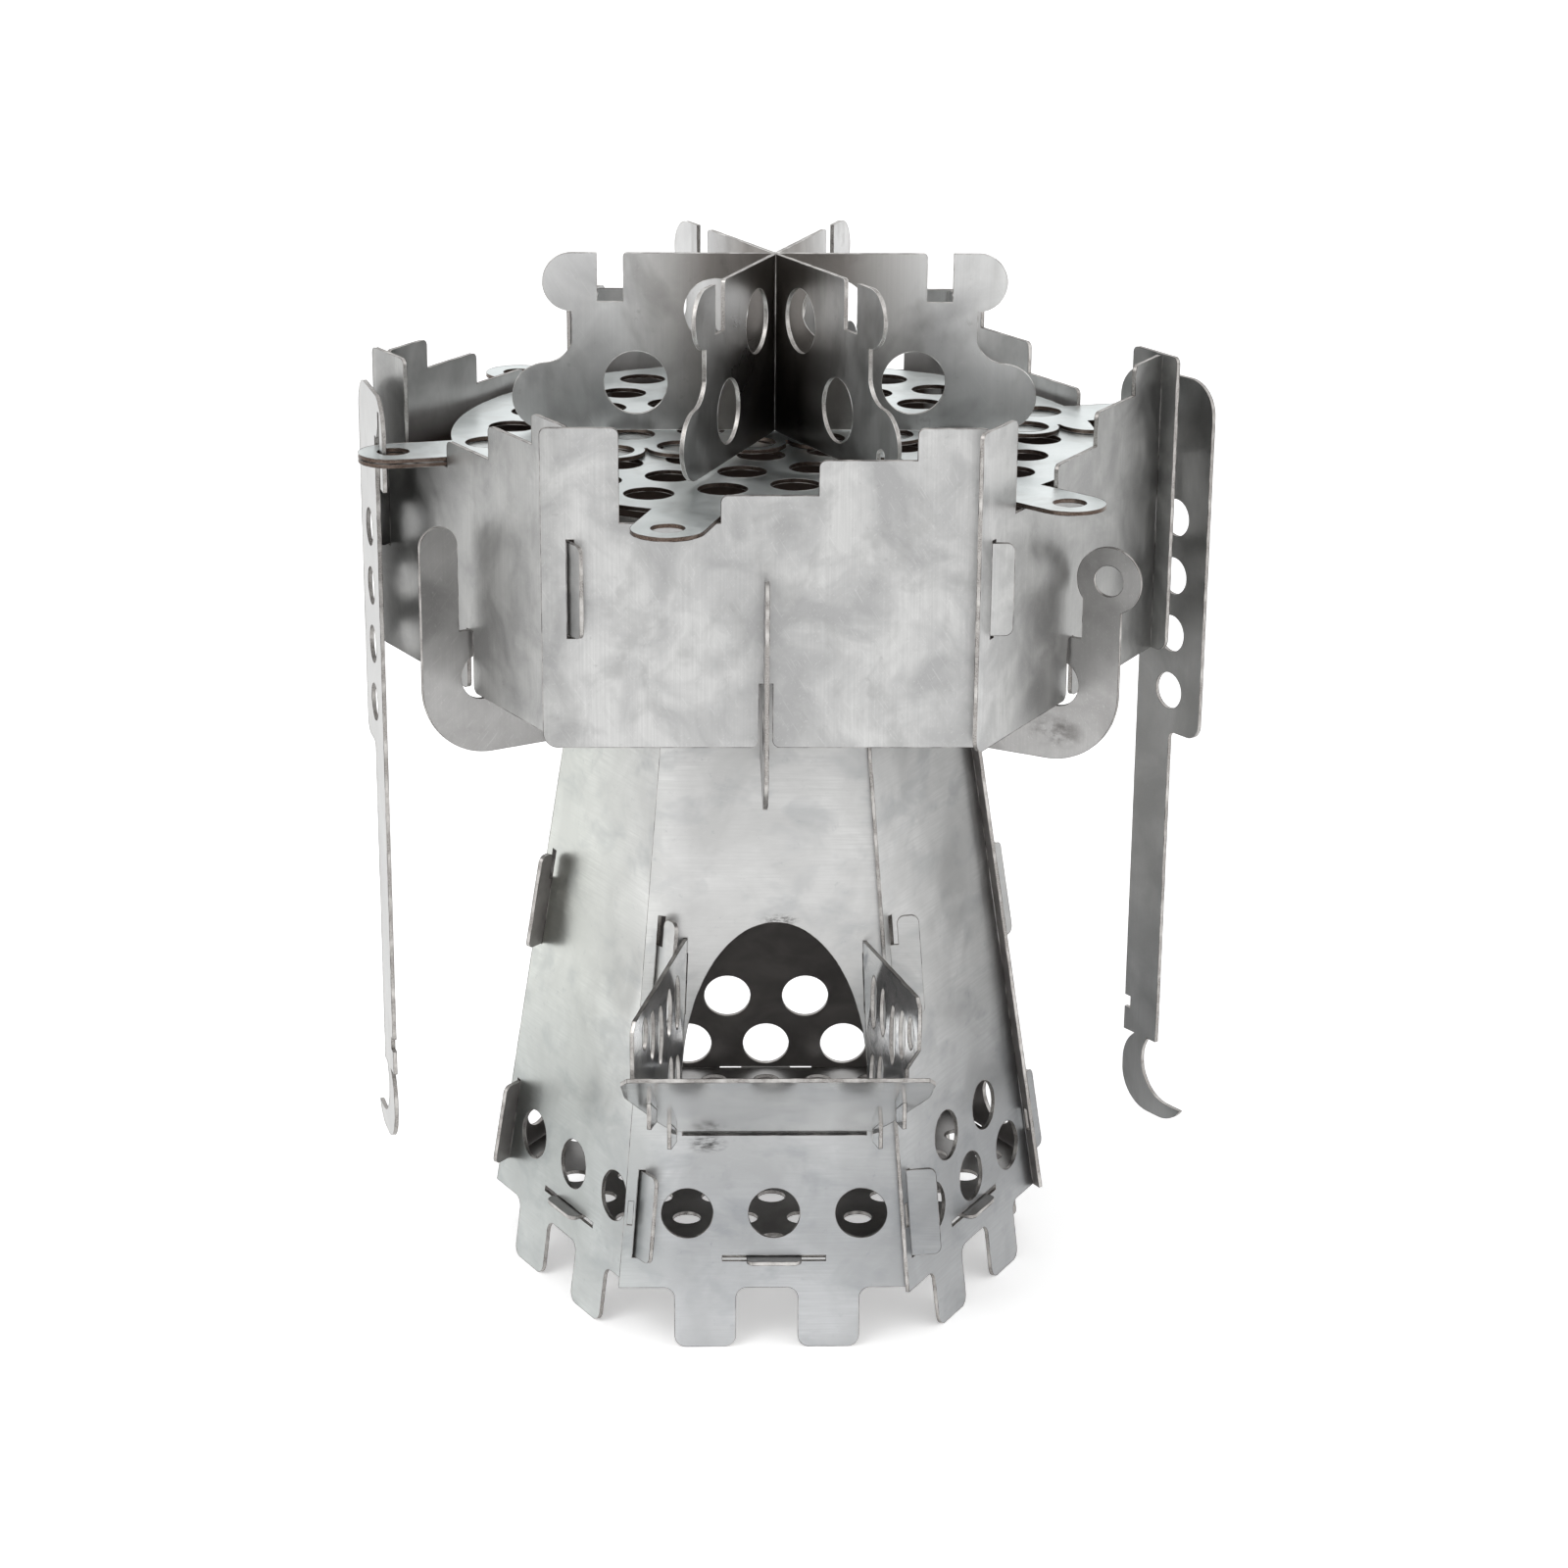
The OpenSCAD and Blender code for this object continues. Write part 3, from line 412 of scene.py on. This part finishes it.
def dressSheet(sheet, flatFinish, cutFinish):
    # the two broad faces share one direction, so every face that looks across it is a cut
    polygons = sheet.data.polygons
    broad = max(polygons, key=lambda polygon: polygon.area).normal.copy()
    sheet.data.materials.clear()
    sheet.data.materials.append(flatFinish)
    sheet.data.materials.append(cutFinish)
    for polygon in polygons:
        polygon.material_index = 0 if abs(polygon.normal.dot(broad)) > cutFace["flatCosine"] else 1


finishes = {name: steelSheet(name, look) for name, look in looks.items()}
cutFinishes = {name: cutFaceSteel(name, look) for name, look in cutFaces.items()}
for name, sheet in nodes.items():
    cutName = "oxidisedCutFace" if slotOf[name] == "grate_steel" else "laserCutFace"
    dressSheet(sheet, finishes[lookFor(name)], cutFinishes[cutName])
print("sheets dressed in", len(finishes), "finishes")


# Deburred edges, which follow every cut of every sheet

cutEdge = {
    "beadRadius": 0.08 * mm, "sharpAngle": math.radians(50), "sides": 4, "weld": 0.005 * mm,
    "glint": (6, 6, 6), "rough": (0.3, 0.45),
}


def cutEdgeSteel(name, dull, glint):
    # the narrow rounded edge that deburring leaves, with a glint here and there
    material, tree = startMaterial(name)
    place = addNode(tree, "ShaderNodeTexCoord").outputs["Object"]
    glints = noise(tree, place, cutEdge["glint"], "edgeGlint")
    base = mixColour(tree, remap(tree, glints, grains["edgeGlint"]["span"]), dull, glint)
    metalSurface(tree, base, remap(tree, glints, roughSpan, cutEdge["rough"]))
    return material


def edgeBeadTree():
    tree = bpy.data.node_groups.new("cutEdgeBead", "GeometryNodeTree")
    face = tree.interface
    face.new_socket("Sheets", in_out="INPUT", socket_type="NodeSocketGeometry")
    for label, kind in (("Bead radius", "Float"), ("Sharp angle", "Float"), ("Weld distance", "Float"),
                        ("Sides", "Int"), ("Finish", "Material")):
        face.new_socket(label, in_out="INPUT", socket_type="NodeSocket" + kind)
    face.new_socket("Edges", in_out="OUTPUT", socket_type="NodeSocketGeometry")
    given = addNode(tree, "NodeGroupInput").outputs
    welded = addNode(tree, "GeometryNodeMergeByDistance",
                     inputs={"Geometry": given["Sheets"], "Distance": given["Weld distance"]})
    angle = addNode(tree, "GeometryNodeInputMeshEdgeAngle")
    sharp = addNode(tree, "FunctionNodeCompare", {"data_type": "FLOAT", "operation": "GREATER_THAN"},
                    {0: angle.outputs["Unsigned Angle"], 1: given["Sharp angle"]})
    path = addNode(tree, "GeometryNodeMeshToCurve",
                   inputs={"Mesh": welded.outputs[0], "Selection": sharp.outputs[0]})
    ring = addNode(tree, "GeometryNodeCurvePrimitiveCircle",
                   inputs={"Resolution": given["Sides"], "Radius": given["Bead radius"]})
    bead = addNode(tree, "GeometryNodeCurveToMesh",
                   inputs={"Curve": path.outputs[0], "Profile Curve": ring.outputs[0], "Fill Caps": True})
    real = addNode(tree, "GeometryNodeRealizeInstances", inputs={"Geometry": bead.outputs[0]})
    dressed = addNode(tree, "GeometryNodeSetMaterial",
                      inputs={"Geometry": real.outputs[0], "Material": given["Finish"]})
    addNode(tree, "NodeGroupOutput", inputs={0: dressed.outputs[0]})
    return tree


def joinedCopy(name, members):
    joined = bmesh.new()
    for member in members:
        joined.from_mesh(nodes[member].data)
    mesh = bpy.data.meshes.new(name)
    joined.to_mesh(mesh)
    joined.free()
    piece = bpy.data.objects.new(name, mesh)
    bpy.context.scene.collection.objects.link(piece)
    return piece


def edgeBead(tree, name, members, finish):
    source = joinedCopy(name + "Source", members)
    modifier = source.modifiers.new("bead", "NODES")
    modifier.node_group = tree
    wanted = {"Bead radius": cutEdge["beadRadius"], "Sharp angle": cutEdge["sharpAngle"],
              "Weld distance": cutEdge["weld"], "Sides": cutEdge["sides"], "Finish": finish}
    for item in tree.interface.items_tree:
        if item.in_out == "INPUT" and item.name in wanted:
            modifier[item.identifier] = wanted[item.name]
    evaluated = source.evaluated_get(bpy.context.evaluated_depsgraph_get())
    mesh = bpy.data.meshes.new_from_object(evaluated)
    bpy.data.objects.remove(source)
    piece = bpy.data.objects.new(name, mesh)
    bpy.context.scene.collection.objects.link(piece)
    return piece


beadTree = edgeBeadTree()
dullEdge = cutEdgeSteel("deburredCutEdge", "#45413f", "#b9b6b3")
# the stand's edges are painted pale as a highlight, so they show bright against the sheet
brightEdge = cutEdgeSteel("paleHighlightCutEdge", "#a5a29f", "#f2f1ef")
for body, members in bodies.items():
    for slot in sorted({slotOf[member] for member in members}):
        ofSlot = [member for member in members if slotOf[member] == slot]
        finish = brightEdge if slot == "stand_steel" else dullEdge
        bead = edgeBead(beadTree, "cut_edges_" + body + "_" + slot, ofSlot, finish)
        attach(bead, body)
        print("cut edges on", body, slot, len(bead.data.polygons), "faces")


# Floor, light and background

# places and sizes in metres, powers in watts
studio = {
    "floorSide": 12.0,
    "floorColour": "#f7f7f7",
    "floorLift": 0.38,
    "worldLevel": 0.84,
    "seenLevel": 1.0,
    "white": "#ffffff",
    "keyPlace": (-1.2, -1.0, 1.9), "keySize": 1.2, "keyPower": 14.0,
    "fillPlace": (1.6, -0.6, 1.2), "fillSize": 1.4, "fillPower": 3.5,
    "aim": (0.0, 0.0, 0.17),
}


def isSeen(tree):
    # 1 for rays that show the background: to the camera, in a reflection or through something clear
    rays = addNode(tree, "ShaderNodeLightPath").outputs
    shown = combine(tree, "MAXIMUM", rays["Is Camera Ray"], rays["Is Glossy Ray"])
    return combine(tree, "MAXIMUM", shown, rays["Is Transmission Ray"])


def makeWorld(s):
    world = bpy.data.worlds.new("studio")
    bpy.context.scene.world = world
    world.use_nodes = True
    tree = world.node_tree
    tree.nodes.clear()
    light = addNode(tree, "ShaderNodeBackground", inputs={"Color": s["white"], "Strength": s["worldLevel"]})
    seen = addNode(tree, "ShaderNodeBackground", inputs={"Color": s["white"], "Strength": s["seenLevel"]})
    backgrounds = {0: isSeen(tree), 1: light.outputs[0], 2: seen.outputs[0]}
    mix = addNode(tree, "ShaderNodeMixShader", inputs=backgrounds)
    addNode(tree, "ShaderNodeOutputWorld", inputs={"Surface": mix.outputs[0]})


def makeFloor(s):
    mesh = bpy.data.meshes.new("floor")
    half = s["floorSide"] / 2
    corners = [(-half, -half, 0), (half, -half, 0), (half, half, 0), (-half, half, 0)]
    mesh.from_pydata(corners, [], [(0, 1, 2, 3)])
    floor = bpy.data.objects.new("floor", mesh)
    bpy.context.scene.collection.objects.link(floor)
    # what is seen of the floor is lifted to white, and its light on the stove stays that of a pale floor
    material, tree = startMaterial("paleFloor")
    plain = addNode(tree, "ShaderNodeBsdfDiffuse", inputs={"Color": s["floorColour"]})
    glow = addNode(tree, "ShaderNodeEmission", inputs={"Color": s["white"], "Strength": s["floorLift"]})
    lifted = addNode(tree, "ShaderNodeAddShader", inputs={0: plain.outputs[0], 1: glow.outputs[0]})
    surfaces = {0: isSeen(tree), 1: plain.outputs[0], 2: lifted.outputs[0]}
    mix = addNode(tree, "ShaderNodeMixShader", inputs=surfaces)
    addNode(tree, "ShaderNodeOutputMaterial", inputs={"Surface": mix.outputs[0]})
    mesh.materials.append(material)


def areaLamp(name, place, size, power, aim):
    data = bpy.data.lights.new(name, "AREA")
    data.size = size
    data.energy = power
    lamp = bpy.data.objects.new(name, data)
    lamp.location = place
    lamp.rotation_euler = (Vector(aim) - Vector(place)).to_track_quat("-Z", "Y").to_euler()
    bpy.context.scene.collection.objects.link(lamp)


makeWorld(studio)
makeFloor(studio)
areaLamp("keyLamp", studio["keyPlace"], studio["keySize"], studio["keyPower"], studio["aim"])
areaLamp("fillLamp", studio["fillPlace"], studio["fillSize"], studio["fillPower"], studio["aim"])
bpy.context.scene.view_settings.view_transform = "Standard"
print("studio lit")
